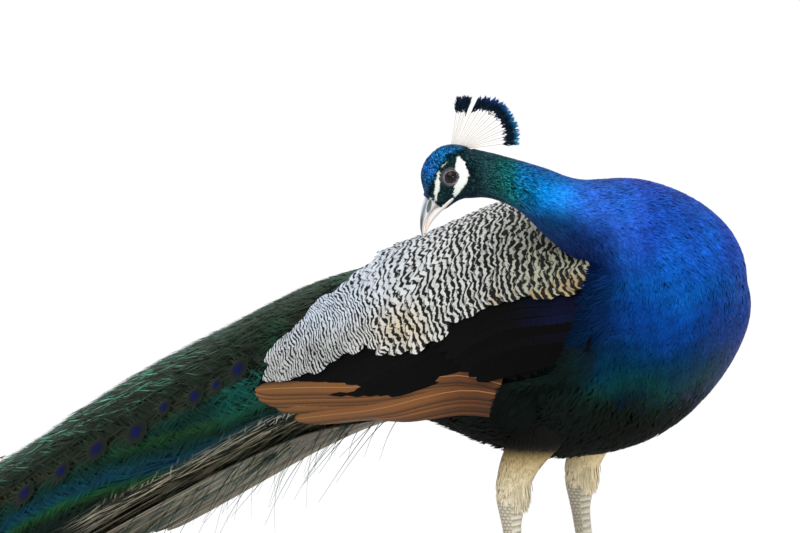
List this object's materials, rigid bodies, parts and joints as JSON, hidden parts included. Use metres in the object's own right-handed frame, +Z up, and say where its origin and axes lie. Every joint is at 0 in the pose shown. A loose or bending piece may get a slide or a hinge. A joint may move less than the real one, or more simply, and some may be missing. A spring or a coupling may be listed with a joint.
{
  "type": "peacock",
  "caption": "Life-size still model of a male Indian peafowl that stands and looks back over its right shoulder, with its long train laid on the floor behind it.",
  "frame": {"origin": "on the floor under the middle of the model's box", "axes": "+X the way the breast faces, +Y the bird's left, +Z up"},
  "size_m": [1.7956, 0.3606, 0.5626],
  "materials": {
    "plumage_face": "glossy scale feathers, teal blue and black with bare white patches",
    "plumage_blue": "iridescent cobalt blue body feathers",
    "plumage_breast": "iridescent blue turning blackish green",
    "plumage_dark": "blackish green downy feathers",
    "plumage_train": "bronze-green train feathers with eye spots",
    "plumage_tail": "grey-brown tail feathers",
    "plumage_barred": "cream feathers with wavy black bars",
    "plumage_secondaries": "blackish flight feathers with a dark blue gloss",
    "plumage_primaries": "cinnamon flight feathers with pale shafts",
    "plumage_thigh": "short buff feathers",
    "plumage_crest": "pale bare shafts with blue-black tips",
    "leg_scales": "horny grey scales",
    "claw_horn": "dark horn",
    "bill_horn": "grey horn, paler below",
    "eye": "wet dark brown"
  },
  "bodies": {
    "root": {"head": "plumage_face", "eye_left": "eye", "eye_right": "eye", "bill_upper": "bill_horn", "bill_lower": "bill_horn", "crest": "plumage_crest", "neck_lower": "plumage_blue", "neck_upper": "plumage_blue", "breast": "plumage_breast", "trunk": "plumage_dark", "train_base": "plumage_train", "train_middle": "plumage_train", "train_end": "plumage_train", "tail": "plumage_tail", "wing_left_coverts": "plumage_barred", "wing_left_secondaries": "plumage_secondaries", "wing_left_primaries": "plumage_primaries", "wing_right_coverts": "plumage_barred", "wing_right_secondaries": "plumage_secondaries", "wing_right_primaries": "plumage_primaries", "thigh_left": "plumage_thigh", "shank_left": "leg_scales", "spur_left": "claw_horn", "foot_left": "leg_scales", "claw_left_middle": "claw_horn", "claw_left_inner": "claw_horn", "claw_left_outer": "claw_horn", "claw_left_hind": "claw_horn", "thigh_right": "plumage_thigh", "shank_right": "leg_scales", "spur_right": "claw_horn", "foot_right": "leg_scales", "claw_right_middle": "claw_horn", "claw_right_inner": "claw_horn", "claw_right_outer": "claw_horn", "claw_right_hind": "claw_horn"}
  },
  "joints": []
}
